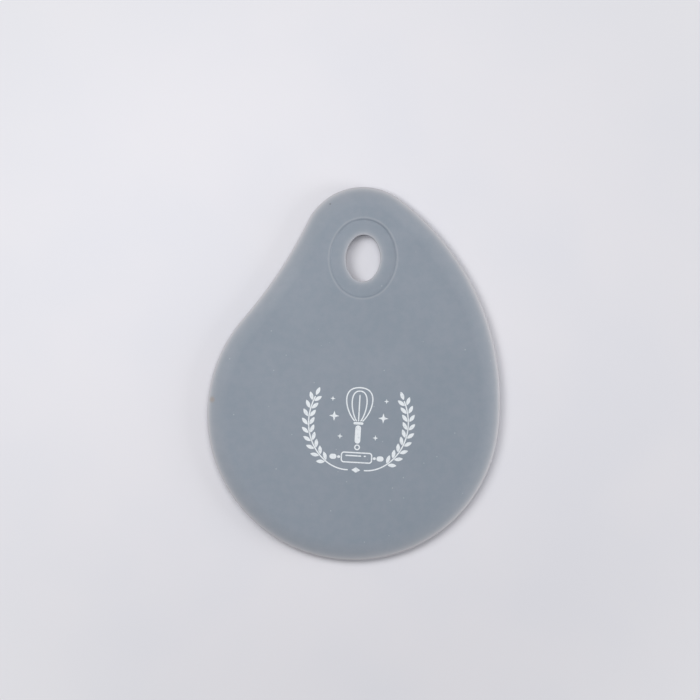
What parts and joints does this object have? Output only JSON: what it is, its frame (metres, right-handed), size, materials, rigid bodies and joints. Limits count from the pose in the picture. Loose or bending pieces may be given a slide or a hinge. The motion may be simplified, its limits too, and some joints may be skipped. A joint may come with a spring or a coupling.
{
  "type": "bowl scraper",
  "caption": "Pear-shaped soft scraper with a thin rounded lip all round, an oval hang hole in a shallow collar at its narrow end, and a stiff plate sealed inside.",
  "frame": {"origin": "on the back face, under the middle of the outline's box", "axes": "+Y along the scraper from the wide blade to the hang hole, +Z through the thickness from the back face to the printed front face, +X towards the full, bulging side"},
  "size_m": [0.1024, 0.131, 0.0055],
  "materials": {
    "silicone": "satin blue-grey silicone",
    "nylon_core": "natural nylon, matte",
    "print_ink": "white pad-printed ink"
  },
  "bodies": {
    "root": {"silicone_body": "silicone", "core_plate": "nylon_core"}
  },
  "joints": []
}
